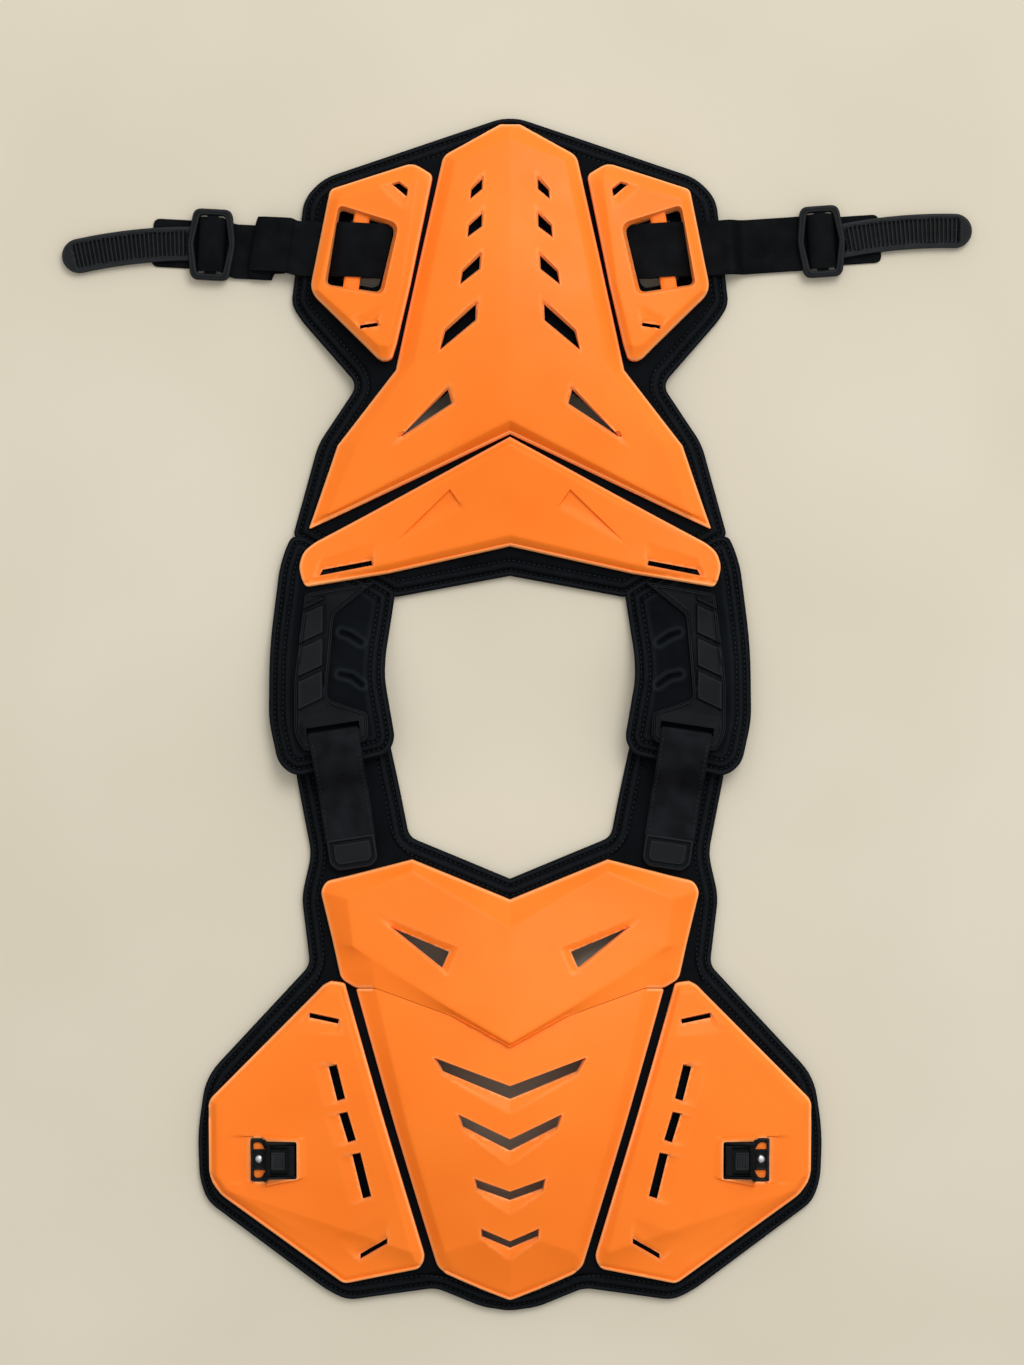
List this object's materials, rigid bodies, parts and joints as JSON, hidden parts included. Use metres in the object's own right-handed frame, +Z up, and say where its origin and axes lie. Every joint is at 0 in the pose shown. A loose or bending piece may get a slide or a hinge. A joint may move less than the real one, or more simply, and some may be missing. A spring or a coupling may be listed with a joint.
{
  "type": "roost deflector",
  "caption": "Chest and back guard for off-road riding, laid out flat: moulded plates on padded frames, with shoulder straps, side straps and release buckles.",
  "frame": {"origin": "on the surface that the guard lies on, under the middle of the neck opening", "axes": "+Z up, +Y from the neck opening to the end of the back half, +X to the right as it lies"},
  "size_m": [0.6408, 0.8395, 0.0459],
  "materials": {
    "orange_plastic": "satin moulded",
    "padding": "laminated knit over foam",
    "webbing": "woven elastic",
    "rubber": "matte",
    "black_plastic": "satin",
    "steel": "satin"
  },
  "bodies": {
    "guard": {"chest_plate": "orange_plastic", "belly_plate": "orange_plastic", "back_plate": "orange_plastic", "neck_plate": "orange_plastic", "chest_side_plate_right": "orange_plastic", "chest_side_plate_left": "orange_plastic", "back_side_plate_right": "orange_plastic", "back_side_plate_left": "orange_plastic", "chest_pad": "padding", "back_pad": "padding", "shoulder_pad_right": "padding", "shoulder_pad_left": "padding", "shoulder_strap_right": "webbing", "shoulder_strap_left": "webbing", "side_webbing_right": "webbing", "side_webbing_left": "webbing", "ladder_backing_right": "webbing", "ladder_backing_left": "webbing", "shoulder_moulding_right": "rubber", "shoulder_moulding_left": "rubber", "shoulder_tab_right": "rubber", "shoulder_tab_left": "rubber", "buckle_base_right": "black_plastic", "buckle_base_left": "black_plastic", "side_slider_right": "black_plastic", "side_slider_left": "black_plastic", "ladder_strap_right": "black_plastic", "ladder_strap_left": "black_plastic", "buckle_pin_right": "steel", "buckle_pin_left": "steel", "buckle_rivet_right": "steel", "buckle_rivet_left": "steel"},
    "lever_right": {"buckle_lever_right": "black_plastic"},
    "lever_left": {"buckle_lever_left": "black_plastic"}
  },
  "joints": [
    {"name": "release_right", "type": "hinge", "parent": "guard", "child": "lever_right", "pos_m": [0.16901, -0.31151, 0.02518], "axis": [0, 1, 0], "range_deg": [0, 40], "stiffness_Nm_per_rad": 0.04, "springref_deg": -11.46},
    {"name": "release_left", "type": "hinge", "parent": "guard", "child": "lever_left", "pos_m": [-0.16901, -0.31151, 0.02518], "axis": [0, -1, 0], "range_deg": [0, 40], "stiffness_Nm_per_rad": 0.04, "springref_deg": -11.46}
  ]
}
